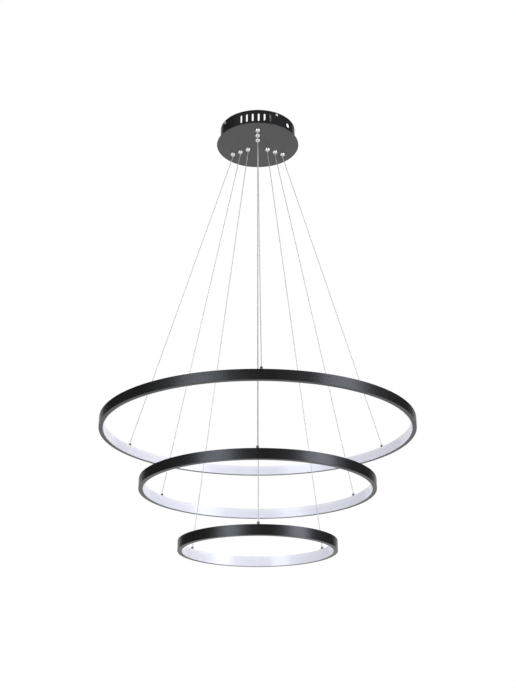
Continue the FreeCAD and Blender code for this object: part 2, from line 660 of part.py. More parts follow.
def ring_profile(ring):
    """The rolled channel, open inwards, with a butt joint and holes in its top flange."""
    outer, bottom, top = ring_levels(ring)
    lip = outer - RING_DEPTH + DIFFUSER_WALL
    web = outer - PROFILE_WALL
    edge = PROFILE_EDGE
    shape = revolved([(lip, bottom), (outer - edge, bottom), (outer, bottom + edge),
                      (outer, top - edge), (outer - edge, top), (lip, top),
                      (lip, top - PROFILE_WALL), (web, top - PROFILE_WALL),
                      (web, bottom + PROFILE_WALL), (lip, bottom + PROFILE_WALL)])
    half = PROFILE_JOINT / 2
    joint = box(Vector(lip - 1, -half, bottom - 1), Vector(outer + 1, half, top + 1))
    shape = shape.cut(turned(joint, JOINT_ANGLE))
    for place in fitting_places(ring):
        shape = shape.cut(rod(FITTING_SHANK + 2 * BORE_CLEARANCE, top - PROFILE_WALL - 1, top + 1,
                              place.x, place.y))
    for place in splice_screw_places(ring):
        hole = SPLICE_SCREW_DIAMETER + 2 * BORE_CLEARANCE
        shape = shape.cut(rod(hole, top - PROFILE_WALL - 1, top + 1, place.x, place.y))
    return shape


def ring_diffuser(ring):
    """The opal band that covers the inner face and clips between the flanges."""
    outer, bottom, top = ring_levels(ring)
    inside = outer - RING_DEPTH
    back = inside + DIFFUSER_WALL
    low = bottom + PROFILE_WALL + LEG_CLEARANCE
    high = top - PROFILE_WALL - LEG_CLEARANCE
    leg_end = back + DIFFUSER_LEG
    return revolved([(inside, bottom), (back, bottom), (back, low), (leg_end, low),
                     (leg_end, low + DIFFUSER_WALL), (back, low + DIFFUSER_WALL),
                     (back, high - DIFFUSER_WALL), (leg_end, high - DIFFUSER_WALL), (leg_end, high),
                     (back, high), (back, top), (inside, top)])


def ring_led_strip(ring):
    """The flexible board on the web of the channel, with one unbroken line of light."""
    outer, bottom, top = ring_levels(ring)
    middle = (bottom + top) / 2
    back = outer - PROFILE_WALL - STRIP_GLUE
    face = back - STRIP_THICKNESS
    front = face - LIGHT_LINE_HEIGHT
    half, line, lens = STRIP_WIDTH / 2, LIGHT_LINE_WIDTH / 2, LIGHT_LINE_FACE / 2
    return revolved([(back, middle - half), (back, middle + half), (face, middle + half),
                     (face, middle + line), (front, middle + lens),
                     (front, middle - lens), (face, middle - line), (face, middle - half)])


def wire_fitting(ring, place):
    """The small socket on top of a ring that takes the end of a wire."""
    _, _, top = ring_levels(ring)
    radius = FITTING_DIAMETER / 2
    shank = FITTING_SHANK / 2
    head = top + FITTING_HEIGHT
    floor = head - FITTING_BORE_DEPTH
    outline = [(0, top - FITTING_SHANK_LENGTH), (shank, top - FITTING_SHANK_LENGTH), (shank, top),
               (radius, top), (radius, head - FITTING_EDGE), (radius - FITTING_EDGE, head),
               (BORE_RADIUS, head), (BORE_RADIUS, floor), (0, floor)]
    return moved(revolved(outline), place)


def fitting_places(ring):
    outer, _, _ = ring_levels(ring)
    return [polar(outer - RING_DEPTH / 2, angle) for angle in ring_angles(ring).values()]


def fitting_nut(ring, angle):
    """A nut inside the channel, with two flats facing the web and the diffuser."""
    outer, _, top = ring_levels(ring)
    high = top - PROFILE_WALL
    shape = nut(FITTING_NUT_WIDTH, FITTING_SHANK + THREAD_GAP, high - FITTING_NUT_HEIGHT, high)
    return moved(turned(shape, angle), polar(outer - RING_DEPTH / 2, angle))


def splice_middle(ring):
    outer, _, _ = ring_levels(ring)
    return outer - PROFILE_WALL - SPLICE_WALL_GAP - SPLICE_WIDTH / 2


def splice_screw_places(ring):
    middle = splice_middle(ring)
    half = splice_turn(middle, SPLICE_SCREW_SPACING)
    return [polar(middle, JOINT_ANGLE + side * half) for side in (-1, 1)]


def splice_plate(ring):
    """A curved plate under the top flange, across the joint of the profile."""
    _, _, top = ring_levels(ring)
    middle = splice_middle(ring)
    high = top - PROFILE_WALL
    inner, outer = middle - SPLICE_WIDTH / 2, middle + SPLICE_WIDTH / 2
    half = splice_turn(middle, SPLICE_LENGTH)
    low = high - SPLICE_THICKNESS
    points = [Vector(r, 0, z) for r, z in ((inner, low), (outer, low), (outer, high), (inner, high))]
    face = Part.Face(Part.makePolygon(points + points[:1]))
    shape = turned(face.revolve(Vector(0, 0, 0), UP, 2 * half), JOINT_ANGLE - half)
    for place in splice_screw_places(ring):
        shape = shape.cut(rod(SPLICE_SCREW_DIAMETER, low - 1, high + 1, place.x, place.y))
    return shape


def splice_screws(ring):
    _, _, top = ring_levels(ring)
    screws = []
    for place in splice_screw_places(ring):
        screw = rod(SPLICE_SCREW_HEAD, top, top + SPLICE_SCREW_HEAD_HEIGHT, place.x, place.y)
        tip = top - PROFILE_WALL - SPLICE_THICKNESS - SPLICE_SCREW_TIP
        head_top = top + SPLICE_SCREW_HEAD_HEIGHT
        shank_top = top + SPLICE_SCREW_HEAD_HEIGHT / 2
        screw = screw.fuse(rod(SPLICE_SCREW_DIAMETER - THREAD_GAP, tip, shank_top, place.x, place.y))
        screw = screw.cut(rod(SPLICE_SCREW_RECESS, head_top - SPLICE_SCREW_RECESS_DEPTH, head_top + 1,
                              place.x, place.y))
        screws.append(screw)
    return screws


# ---------------------------------------------------------------- wires


def wire_route(ring, wire):
    """From the crimp, straight down out of the gripper, along the slanting run, down into the ring."""
    outer, _, top = ring_levels(ring)
    start = polar(RINGS[ring]["gripper_radius"], WIRE_ANGLES[wire])
    end = polar(outer - RING_DEPTH / 2, ring_angles(ring)[wire])
    tail = STOP_BOTTOM + STOP_BORE_DEPTH - WIRE_END_GAP
    head = top + FITTING_HEIGHT
    lean = math.atan2((end - start).Length, PLUNGER_MOUTH - head)
    back = WIRE_STRAIGHT + WIRE_BEND_RADIUS * math.tan(lean / 2)
    return [start + UP * tail, start + UP * (PLUNGER_MOUTH - back),
            end + UP * (head + back), end + UP * (head - FITTING_BORE_DEPTH + WIRE_END_GAP)]


def suspension_wire(ring, wire):
    solid, length = tube(wire_route(ring, wire), WIRE_DIAMETER, WIRE_BEND_RADIUS)
    print(f"{ring}_ring_wire_{wire}: {length:.1f} mm long, bends of radius {WIRE_BEND_RADIUS:.1f} mm")
    return solid


# ---------------------------------------------------------------- the whole lamp


def nodes():
    """Every node's name with its solids."""
    found = {
        "ceiling_bracket": [ceiling_bracket()],
        "canopy_drum": [canopy_drum()],
        "canopy_base_plate": [canopy_base_plate()],
        "stud_nuts": stud_nuts(),
        "canopy_side_screws": canopy_side_screws(),
        "gripper_bodies": at_grippers(gripper_body()),
        "gripper_caps": at_grippers(gripper_cap()),
        "gripper_washers": at_grippers(gripper_washer()),
        "gripper_locknuts": at_grippers(gripper_locknut()),
        "gripper_springs": at_grippers(gripper_spring()),
        "wire_stops": at_grippers(wire_stop()),
        "driver_cases": at_drivers([driver_case()]),
        "driver_covers": at_drivers([driver_cover()]),
        "driver_boards": at_drivers([driver_board()]),
        "driver_cover_screws": at_drivers(driver_cover_screws()),
        "terminal_block": [terminal_block()],
        "terminal_screws": terminal_screws(),
        "earth_lug": [earth_lug()],
        "input_leads": input_leads(),
        "output_leads": output_leads(),
    }
    for (ring, wire, _), plunger in zip(gripper_places(), at_grippers(gripper_plunger())):
        found[f"gripper_plunger_{ring}_{wire}"] = [plunger]
    for ring in RINGS:
        found[f"{ring}_ring_profile"] = [ring_profile(ring)]
        found[f"{ring}_ring_diffuser"] = [ring_diffuser(ring)]
        found[f"{ring}_ring_led_strip"] = [ring_led_strip(ring)]
        found[f"{ring}_ring_wire_fittings"] = [wire_fitting(ring, p) for p in fitting_places(ring)]
        found[f"{ring}_ring_fitting_nuts"] = [fitting_nut(ring, a) for a in ring_angles(ring).values()]
        found[f"{ring}_ring_splice_plate"] = [splice_plate(ring)]
        found[f"{ring}_ring_splice_screws"] = splice_screws(ring)
        for wire in WIRE_ANGLES:
            found[f"{ring}_ring_wire_{wire}"] = [suspension_wire(ring, wire)]
    return found


def main():
    os.makedirs("parts", exist_ok=True)
    for name, solids in nodes().items():
        shape = solids[0] if len(solids) == 1 else Part.makeCompound(solids)
        if not shape.isValid():
            raise ValueError(f"{name} isn't valid")
        shape.exportStep(f"parts/{name}.step")
        print(f"{name}: {len(shape.Solids)} solids, {shape.Volume:.0f} mm3")


main()
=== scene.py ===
import json
import math

import bmesh
import bpy
from mathutils import Matrix, Vector


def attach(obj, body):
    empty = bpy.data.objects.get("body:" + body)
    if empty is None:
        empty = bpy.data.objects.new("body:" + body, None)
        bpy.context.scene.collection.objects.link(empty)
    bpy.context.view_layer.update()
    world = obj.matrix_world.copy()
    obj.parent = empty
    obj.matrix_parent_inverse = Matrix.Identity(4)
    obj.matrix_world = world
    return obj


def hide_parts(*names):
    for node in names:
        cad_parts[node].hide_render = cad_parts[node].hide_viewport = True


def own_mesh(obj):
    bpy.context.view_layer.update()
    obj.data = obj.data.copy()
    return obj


# A ring chandelier: three black rings with opal bands on their inner faces hang on nine steel wires
# from a round black canopy. Metres, +Z up, the ceiling is at Z = 0 and -Y is the near side.

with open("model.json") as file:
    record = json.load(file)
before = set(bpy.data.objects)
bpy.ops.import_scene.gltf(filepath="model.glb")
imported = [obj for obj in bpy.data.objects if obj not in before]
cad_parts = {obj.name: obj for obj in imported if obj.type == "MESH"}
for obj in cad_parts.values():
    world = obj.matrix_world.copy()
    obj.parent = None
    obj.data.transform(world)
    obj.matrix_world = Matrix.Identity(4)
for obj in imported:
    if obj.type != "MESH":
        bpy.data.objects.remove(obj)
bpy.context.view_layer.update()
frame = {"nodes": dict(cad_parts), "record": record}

RINGS = ("large", "medium", "small")
WIRES = ("near", "right", "left")
WIRE_ANGLES = {"near": -90.0, "right": 30.0, "left": 150.0}  # degrees from +X
RING_RADIUS = {"large": 0.400, "medium": 0.295, "small": 0.195}
RING_BOTTOM = {"large": -0.900, "medium": -1.050, "small": -1.200}
RING_TURN = {"large": 1.2, "medium": 0.0, "small": 0.5}  # degrees
GRIPPER_RADIUS = {"large": 0.082, "medium": 0.057, "small": 0.032}
RING_HEIGHT = 0.025
RING_DEPTH = 0.012
PROFILE_WALL = 0.0015
PROFILE_ROUND = 0.00045
JOINT_GAP = 0.0004
RING_STEPS = 288
DIFFUSER_WALL = 0.0012
DIFFUSER_LEG = 0.0013
DIFFUSER_ROUND = 0.0003
LEG_CLEARANCE = 0.0001

FITTING_RADIUS = 0.00325
FITTING_HEIGHT = 0.007
FITTING_ROUND = 0.0009
FITTING_BORE_DEPTH = 0.005
FITTING_SHANK = 0.0015
FITTING_SHANK_LENGTH = 0.005
SHANK_CLEARANCE = 0.0001
FITTING_END_GAP = 0.0005  # from the wire's end to the floor of the bore
SPLICE_HOLE = 0.00135
SPLICE_MIDDLE = 0.005  # from the ring's outer face to the splice screws
SPLICE_SCREW_SPACING = 0.026

WIRE_DIAMETER = 0.0020
WIRE_STRAIGHT = 0.001  # from a mouth to the start of a bend, in the part's source
WIRE_BEND_RADIUS = 0.008
WIRE_SIDES_RESOLUTION = 4
WIRE_SPAN_STEPS = 8  # along each span of a wire's curve
WIRE_TAIL_SIDES = 12
WIRE_LAY = 0.010  # one turn of the strands
BORE_RADIUS = 0.0011

CANOPY_BOTTOM = -0.050
PLATE_RADIUS = 0.115
PLATE_THICKNESS = 0.002
PLATE_ROUND = 0.0008
DRUM_RADIUS = 0.105
DRUM_WALL = 0.0012
DRUM_FLANGE = 0.013
DRUM_TOP = -0.0005
DRUM_ROUND = 0.0004
DRUM_STEPS = 240
TOOL_REACH = 0.01  # of a cutting tool, past each side of the drum's wall
VENT_END_STEPS = 8
VENT_COUNT = 6
VENT_WIDTH = 0.005
VENT_HEIGHT = 0.024
VENT_PITCH = 9.0  # degrees
VENT_CENTRE = -93.0
VENT_TOOL_DEPTH = 0.02
VENT_END_ROUND = 0.498  # of the slot's width
CABLE_HOLE_RADIUS = 0.0065
CABLE_HOLE_ANGLE = -37.0
BRACKET_ANGLES = (-60.0, 30.0, 120.0, 210.0)
SIDE_SCREW_Z = -0.008
SIDE_HOLE_RADIUS = 0.00225
STUD_ANGLES = (90.0, -30.0, 210.0)
STUD_RADIUS = 0.002
STUD_CIRCLE = 0.09826
STUD_HEIGHT = 0.008
STUD_HOLE_RADIUS = 0.00225
STUD_TOOL_BELOW = 0.002  # the top of the plate
STUD_TOOL_ABOVE = 0.004
EARTH_STUD = (0.0, 0.046)
PLATE_HOLE_RADIUS = 0.0052

CAP_RADIUS = 0.007
CAP_HEIGHT = 0.005
CAP_SIDE = 0.0022
CAP_NOSE = 0.004
CAP_SOCKET = 0.00502
CAP_SOCKET_DEPTH = 0.002
CAP_FLOOR = 0.002
CAP_HOLE = 0.0026
CAVITY_RADIUS = 0.0035
CAP_GROOVE = 0.00018
PLUNGER_NECK = 0.0025
PLUNGER_HEAD = 0.0033
PLUNGER_HEAD_HEIGHT = 0.006
PLUNGER_REACH = 0.004
PLUNGER_SEAT_GAP = 0.0001
PLUNGER_ROUND = 0.0005
CAVITY_TOP = -0.036
SPRING_WIRE = 0.0006
SPRING_DIAMETER = 0.0062
SPRING_TURNS = 5
SPRING_TURN_STEPS = 24
SPRING_WIRE_SIDES = 8
DOME_STEPS = 12  # from a cap's side to its nose
TURNED_STEPS = 48
SOCKET_STEPS = 32
SMALL_HOLE_STEPS = 24
LARGE_HOLE_STEPS = 40

PLATE_TOP = CANOPY_BOTTOM + PLATE_THICKNESS
DRUM_INSIDE = DRUM_RADIUS - DRUM_WALL
CAP_BOTTOM = CANOPY_BOTTOM - CAP_HEIGHT
MOUTH = CAP_BOTTOM - PLUNGER_REACH
HEAD_BOTTOM = CAP_BOTTOM + CAP_FLOOR + PLUNGER_SEAT_GAP
HEAD_TOP = HEAD_BOTTOM + PLUNGER_HEAD_HEIGHT
WIRE_TAIL_TOP = -0.0273


# ---------------------------------------------------------------- camera

PHOTO_CENTRE_X = 258.0  # pixels, of the photograph's 516 by 688 frame
RINGS_CENTRE_X = 257.7
FOCAL_PIXELS = 1097.2
PHOTO_LONG_SIDE = 688.0
SENSOR_WIDTH = 36.0  # millimetres
CAMERA_PITCH = 22.09  # degrees above the horizon
CAMERA_PLACE = Vector((0.0, -2.6624, -1.7346))


def make_camera():
    data = bpy.data.cameras.new("camera")
    data.sensor_width = SENSOR_WIDTH
    data.lens = FOCAL_PIXELS * SENSOR_WIDTH / PHOTO_LONG_SIDE
    data.clip_start = 0.05
    data.clip_end = 1000.0
    camera = bpy.data.objects.new("camera", data)
    aside = (PHOTO_CENTRE_X - RINGS_CENTRE_X) / FOCAL_PIXELS * CAMERA_PLACE.length
    camera.location = CAMERA_PLACE + Vector((aside, 0, 0))
    camera.rotation_euler = (math.radians(90 + CAMERA_PITCH), 0, 0)
    bpy.context.scene.collection.objects.link(camera)
    bpy.context.scene.camera = camera


# ---------------------------------------------------------------- shader parts


def add(tree, kind, inputs=None, **settings):
    """A new node with its settings. An input is linked if it is a socket, and otherwise set."""
    made = tree.nodes.new("ShaderNode" + kind)
    for name, value in settings.items():
        setattr(made, name, value)
    for name, value in (inputs or {}).items():
        if isinstance(value, bpy.types.NodeSocket):
            tree.links.new(value, made.inputs[name])
        else:
            made.inputs[name].default_value = value
    return made


def grey(value, tint=(1.0, 1.0, 1.0)):
    return (value * tint[0], value * tint[1], value * tint[2], 1.0)


def mixed(tree, factor, first, second):
    """A colour between two others."""
    return add(tree, "Mix", {0: factor, 6: first, 7: second}, data_type="RGBA").outputs[2]


def ranged(tree, value, low, high, to_low, to_high, smooth=True):
    """A value carried from one range to another, held at its ends."""
    kind = "SMOOTHSTEP" if smooth else "LINEAR"
    return add(tree, "MapRange", {"Value": value, "From Min": low, "From Max": high,
                                  "To Min": to_low, "To Max": to_high},
               interpolation_type=kind).outputs[0]


def noise(tree, vector, scale, detail=2.0, roughness=0.5):
    return add(tree, "TexNoise", {"Vector": vector, "Scale": scale, "Detail": detail,
                                  "Roughness": roughness}).outputs["Fac"]


def group(name, inputs, outputs):
    """An empty shader group with named sockets. Gives the tree and its input and output nodes."""
    tree = bpy.data.node_groups.new(name, "ShaderNodeTree")
    for socket, kind in inputs:
        tree.interface.new_socket(name=socket, in_out="INPUT", socket_type="NodeSocket" + kind)
    for socket, kind in outputs:
        tree.interface.new_socket(name=socket, in_out="OUTPUT", socket_type="NodeSocket" + kind)
    return tree, tree.nodes.new("NodeGroupInput"), tree.nodes.new("NodeGroupOutput")


def put_out(tree, end, values):
    for name, value in values.items():
        tree.links.new(value, end.inputs[name])


def coat_group():
    """A sprayed or moulded skin: orange peel, soft clouds in its gloss, and a trace of dust."""
    tree, start, end = group(
        "satin_skin",
        [("Vector", "Vector"), ("Grain", "Float"), ("Colour", "Color"), ("Cloud", "Color"),
         ("Smooth", "Float"), ("Rough", "Float"), ("Dust", "Color"), ("Dust Amount", "Float")],
        [("Colour", "Color"), ("Roughness", "Float"), ("Height", "Float")])
    given = start.outputs
    clouds = noise(tree, given["Vector"], 14.0, 3.0, 0.6)
    peel = noise(tree, given["Vector"], given["Grain"], 2.0, 0.55)
    colour = mixed(tree, ranged(tree, clouds, 0.35, 0.7, 0.0, 1.0), given["Colour"], given["Cloud"])
    normal = add(tree, "NewGeometry").outputs["Normal"]
    facing = add(tree, "SeparateXYZ", {"Vector": normal}).outputs["Z"]
    settled = add(tree, "Math", {0: ranged(tree, facing, 0.55, 0.95, 0.0, 1.0),
                                 1: ranged(tree, clouds, 0.3, 0.75, 0.35, 1.0)},
                  operation="MULTIPLY")
    dusty = add(tree, "Math", {0: settled.outputs[0], 1: given["Dust Amount"]},
                operation="MULTIPLY")
    spread = add(tree, "Math", {0: peel, 1: clouds}, operation="ADD").outputs[0]
    rough = ranged(tree, spread, 0.7, 1.3, given["Smooth"], given["Rough"], smooth=False)
    put_out(tree, end, {"Colour": mixed(tree, dusty.outputs[0], colour, given["Dust"]),
                        "Roughness": rough, "Height": peel})
    return tree


def turned_group():
    """Metal that came off a lathe: fine level lines round the piece, with small shifts in tone."""
    tree, start, end = group(
        "turned_lines",
        [("Vector", "Vector"), ("Lines", "Float"), ("Colour", "Color"), ("Tone", "Color"),
         ("Smooth", "Float"), ("Rough", "Float")],
        [("Colour", "Color"), ("Roughness", "Float"), ("Height", "Float")])
    given = start.outputs
    level = add(tree, "VectorMath", {0: given["Vector"], 1: (0.02, 0.02, 1.0)},
                operation="MULTIPLY")
    lines = noise(tree, level.outputs[0], given["Lines"], 2.0, 0.6)
    tones = noise(tree, given["Vector"], 160.0, 2.0)
    rough = ranged(tree, lines, 0.3, 0.7, given["Smooth"], given["Rough"], smooth=False)
    put_out(tree, end, {"Colour": mixed(tree, ranged(tree, tones, 0.35, 0.7, 0.0, 1.0),
                                        given["Colour"], given["Tone"]),
                        "Roughness": rough, "Height": lines})
    return tree


def lay_group():
    """The lay of a wire rope: strands wound round it, read from U round the wire and V along it,
    with painted shade in the grooves between the strands.
    """
    tree, start, end = group(
        "rope_lay",
        [("UV", "Vector"), ("Strands", "Float"), ("Crown", "Color"), ("Groove", "Color")],
        [("Colour", "Color"), ("Roughness", "Float"), ("Height", "Float")])
    given = start.outputs
    parts = add(tree, "SeparateXYZ", {"Vector": given["UV"]})
    turn = add(tree, "Math", {0: parts.outputs["X"], 1: parts.outputs["Y"]}, operation="ADD")
    count = add(tree, "Math", {0: turn.outputs[0], 1: given["Strands"]}, operation="MULTIPLY")
    saw = add(tree, "Math", {0: count.outputs[0], 1: 1.0}, operation="PINGPONG")
    crown = ranged(tree, saw.outputs[0], 0.0, 0.7, 0.0, 1.0)
    put_out(tree, end, {"Colour": mixed(tree, crown, given["Groove"], given["Crown"]),
                        "Roughness": ranged(tree, crown, 0.0, 1.0, 0.5, 0.28),
                        "Height": crown})
    return tree


SKIN = coat_group()
TURNED = turned_group()
LAY = lay_group()
SKIN_DEPTH = 0.0002  # of the relief in paint and plastic
METAL_DEPTH = 0.0001
METAL_RELIEF = 0.12
ROPE_RELIEF = 0.3
OPAL_RELIEF = 0.02
ROPE_STRANDS = 12.0
ROPE_CROWN = grey(0.58)
# Painted shade: the grooves between the rope's strands are drawn darker than the crowns.
ROPE_GROOVE_SHADE = grey(0.45)
DUST = grey(0.35, (1.0, 0.98, 0.95))
DUST_AMOUNT = 0.05
OPAL = (0.75, 0.765, 0.87, 1.0)
# Painted light: the paler glow at the opal band's upper edge.
OPAL_PAINTED_GLOW_TOP = (0.85, 0.86, 0.915, 1.0)
OPAL_CLOUD = (0.78, 0.795, 0.89, 1.0)


def new_material(name, settings):
    """A material with one Principled shader, its plain values set on the shader's own sockets."""
    made = bpy.data.materials.new(name)
    made.use_nodes = True
    tree = made.node_tree
    shader = tree.nodes["Principled BSDF"]
    for socket, value in settings.items():
        shader.inputs[socket].default_value = value
    return made, tree, shader


def joined_up(tree, shader, source, relief, distance):
    """Feeds a group's colour, roughness and relief to the shader."""
    bump = add(tree, "Bump", {"Strength": relief, "Distance": distance,
                              "Height": source.outputs["Height"]})
    tree.links.new(source.outputs["Colour"], shader.inputs["Base Color"])
    tree.links.new(source.outputs["Roughness"], shader.inputs["Roughness"])
    tree.links.new(bump.outputs[0], shader.inputs["Normal"])


def skin_material(name, colour, cloud, smooth, rough, grain=1400.0, relief=0.2, specular=0.5):
    """Paint, anodising or moulded plastic."""
    made, tree, shader = new_material(name, {"Specular IOR Level": specular})
    place = add(tree, "TexCoord").outputs["Object"]
    source = add(tree, "Group", {"Vector": place, "Grain": grain, "Colour": colour, "Cloud": cloud,
                                 "Smooth": smooth, "Rough": rough, "Dust": DUST,
                                 "Dust Amount": DUST_AMOUNT}, node_tree=SKIN)
    joined_up(tree, shader, source, relief, SKIN_DEPTH)
    return made


def metal_material(name, colour, tone, smooth, rough, lines=9000.0):
    """Bare or plated metal with turning lines."""
    made, tree, shader = new_material(name, {"Metallic": 1.0})
    place = add(tree, "TexCoord").outputs["Object"]
    source = add(tree, "Group", {"Vector": place, "Lines": lines, "Colour": colour, "Tone": tone,
                                 "Smooth": smooth, "Rough": rough}, node_tree=TURNED)
    joined_up(tree, shader, source, METAL_RELIEF, METAL_DEPTH)
    return made


def wire_material():
    """Bright steel rope with painted shade in its grooves, whose strands follow the piece's own UV
    map.
    """
    made, tree, shader = new_material("wire_steel", {"Metallic": 0.4})
    lay = add(tree, "UVMap", uv_map="lay").outputs[0]
    source = add(tree, "Group", {"UV": lay, "Strands": ROPE_STRANDS, "Crown": ROPE_CROWN,
                                 "Groove": ROPE_GROOVE_SHADE}, node_tree=LAY)
    joined_up(tree, shader, source, ROPE_RELIEF, METAL_DEPTH)
    return made


def diffuser_material():
    """Opal acrylic: milky under a smooth skin, faintly clouded, with painted light making it paler
    towards its upper edge.
    """
    made, tree, shader = new_material("opal_diffuser",
                                      {"Coat Weight": 0.25, "Coat Roughness": 0.15})
    place = add(tree, "TexCoord").outputs["Object"]
    band = add(tree, "UVMap", uv_map="band").outputs[0]
    height = add(tree, "SeparateXYZ", {"Vector": band}).outputs["Y"]
    # Painted light: the upper half of the band grows paler towards its top edge.
    body = mixed(tree, ranged(tree, height, 0.5, 1.0, 0.0, 1.0), OPAL, OPAL_PAINTED_GLOW_TOP)
    source = add(tree, "Group", {"Vector": place, "Grain": 70.0, "Colour": body,
                                 "Cloud": OPAL_CLOUD, "Smooth": 0.26, "Rough": 0.36,
                                 "Dust Amount": 0.0}, node_tree=SKIN)
    joined_up(tree, shader, source, OPAL_RELIEF, SKIN_DEPTH)
    return made


WARM_WHITE = (1.0, 0.99, 0.98)
SKINS = {
    "black_steel": dict(colour=grey(0.009), cloud=grey(0.013), smooth=0.32, rough=0.42,
                        grain=1500.0, relief=0.25),
    # Painted light: a lighter copy of black_steel for the plate's underside, which catches light
    # from below.
    "plate_steel_painted_light": dict(colour=grey(0.026), cloud=grey(0.032), smooth=0.34, rough=0.44,
                        grain=1500.0, relief=0.25, specular=0.8),
    "black_aluminium": dict(colour=grey(0.010), cloud=grey(0.013), smooth=0.28, rough=0.38,
                            grain=1700.0, relief=0.18, specular=0.4),
    "black_screw": dict(colour=grey(0.015), cloud=grey(0.022), smooth=0.35, rough=0.5),
    "white_plastic": dict(colour=grey(0.78), cloud=grey(0.72, (1.0, 0.99, 0.97)), smooth=0.38,
                          rough=0.55, grain=1100.0, relief=0.3),
    "terminal_plastic": dict(colour=(0.76, 0.74, 0.66, 1.0), cloud=(0.7, 0.68, 0.6, 1.0),
                             smooth=0.35, rough=0.5),
    "circuit_board": dict(colour=(0.03, 0.16, 0.06, 1.0), cloud=(0.05, 0.22, 0.08, 1.0),
                          smooth=0.3, rough=0.6, grain=500.0),
    "led_strip": dict(colour=(0.85, 0.78, 0.45, 1.0), cloud=(0.9, 0.82, 0.5, 1.0),
                      smooth=0.35, rough=0.5),
    "lead_sleeve": dict(colour=grey(0.7, (1.0, 0.98, 0.94)), cloud=grey(0.6, (1.0, 0.97, 0.92)),
                        smooth=0.4, rough=0.55, grain=900.0),
}
METALS = {
    "nickel": dict(colour=grey(0.92, WARM_WHITE), tone=grey(0.82, WARM_WHITE),
                   smooth=0.24, rough=0.38),
    "dark_nickel": dict(colour=grey(0.16), tone=grey(0.11), smooth=0.25, rough=0.4),
    "zinc_steel": dict(colour=grey(0.55, (0.97, 0.99, 1.02)), tone=grey(0.42, (0.96, 0.99, 1.04)),
                       smooth=0.3, rough=0.5, lines=2500.0),
    "spring_steel": dict(colour=grey(0.4), tone=grey(0.3), smooth=0.3, rough=0.45),
    "bare_aluminium": dict(colour=grey(0.72), tone=grey(0.62), smooth=0.32, rough=0.46,
                           lines=3000.0),
}
FINISH = {name: skin_material(name, **values) for name, values in SKINS.items()}
FINISH.update((name, metal_material(name, **values)) for name, values in METALS.items())
FINISH["opal_diffuser"] = diffuser_material()
FINISH["wire_steel"] = wire_material()
CAD_SLOTS = {part["node"]: part["material_slot"] for part in frame["record"]["subparts"]}


# ---------------------------------------------------------------- shape parts

MERGE_DISTANCE = 1e-6
CARVED_MERGE_DISTANCE = 1e-7
SHARP_ANGLE = 35  # degrees, between faces that shade as an edge
ROUND_SHARP_ANGLE = 30
UPRIGHT_WALL = 0.9  # least share of a normal along the radius
LEVEL_FACE = 0.999  # least share of a normal along Z


def polar(radius, angle, z=0.0):
    a = math.radians(angle)
    return Vector((radius * math.cos(a), radius * math.sin(a), z))


def outline_of(points, rounded=(), radius=0.0, segments=3):
    """A bmesh with one face in the XZ plane, through (radius, z) points, some corners rounded."""
    shape = bmesh.new()
    corners = [shape.verts.new((r, 0, z)) for r, z in points]
    shape.faces.new(corners)
    if rounded:
        bmesh.ops.bevel(shape, geom=[corners[i] for i in rounded], offset=radius,
                        offset_type="OFFSET", affect="VERTICES", segments=segments, profile=0.5,
                        material=-1)
    return shape


def spun(shape, steps):
    """Spins an outline right round the Z axis into a closed shell."""
    bmesh.ops.delete(shape, geom=shape.faces[:], context="FACES_ONLY")
    bmesh.ops.spin(shape, geom=shape.verts[:] + shape.edges[:], cent=(0, 0, 0), axis=(0, 0, 1),
                   angle=math.tau, steps=steps, use_merge=True)
    bmesh.ops.remove_doubles(shape, verts=shape.verts, dist=MERGE_DISTANCE)
    bmesh.ops.recalc_face_normals(shape, faces=shape.faces)
    return shape


def spun_with_joint(shape, steps, gap, angle):
    """Spins an outline round the Z axis but for a small gap at an angle, its two ends closed."""
    radius = max(v.co.x for v in shape.verts)
    open_turn = gap / radius
    bmesh.ops.rotate(shape, cent=(0, 0, 0), verts=shape.verts,
                     matrix=Matrix.Rotation(math.radians(angle) + open_turn / 2, 3, "Z"))
    bmesh.ops.spin(shape, geom=shape.faces[:] + shape.verts[:] + shape.edges[:], cent=(0, 0, 0),
                   axis=(0, 0, 1), angle=math.tau - open_turn, steps=steps, use_merge=False)
    bmesh.ops.recalc_face_normals(shape, faces=shape.faces)
    return shape


def rod(radius, low, high, steps):
    """A bmesh cylinder on the Z axis."""
    shape = bmesh.new()
    bmesh.ops.create_cone(shape, cap_ends=True, segments=steps, radius1=radius, radius2=radius,
                          depth=high - low, matrix=Matrix.Translation((0, 0, (low + high) / 2)))
    return shape


def placed(shape, matrix):
    bmesh.ops.transform(shape, matrix=matrix, verts=shape.verts)
    return shape


def at(place):
    return Matrix.Translation(place)


def radial(angle, z):
    """Carries a shape on the Z axis onto the radius at an angle and a height, its +Z outwards."""
    return (Matrix.Rotation(math.radians(angle), 4, "Z") @ Matrix.Translation((0, 0, z))
            @ Matrix.Rotation(math.radians(90), 4, "Y"))


def together(shapes):
    """One bmesh that holds all the shapes."""
    whole = bmesh.new()
    for shape in shapes:
        part = bpy.data.meshes.new("part")
        shape.to_mesh(part)
        shape.free()
        whole.from_mesh(part)
        bpy.data.meshes.remove(part)
    return whole


def object_of(name, shape):
    mesh = bpy.data.meshes.new(name)
    shape.to_mesh(mesh)
    shape.free()
    made = bpy.data.objects.new(name, mesh)
    bpy.context.scene.collection.objects.link(made)
    return made


def carved(shape, tool, operation="DIFFERENCE"):
    """The shape after a boolean with the tool."""
    body, cutter = object_of("carved_body", shape), object_of("carving_tool", tool)
    boolean = body.modifiers.new("carve", "BOOLEAN")
    boolean.operation = operation
    boolean.solver = "EXACT"
    boolean.use_self = False
    boolean.object = cutter
    bpy.context.view_layer.update()
    graph = bpy.context.evaluated_depsgraph_get()
    result = bpy.data.meshes.new_from_object(body.evaluated_get(graph))
    done = bmesh.new()
    done.from_mesh(result)
    bmesh.ops.remove_doubles(done, verts=done.verts, dist=CARVED_MERGE_DISTANCE)
    for used in (body, cutter):
        mesh = used.data
        bpy.data.objects.remove(used)
        bpy.data.meshes.remove(mesh)
    bpy.data.meshes.remove(result)
    return done


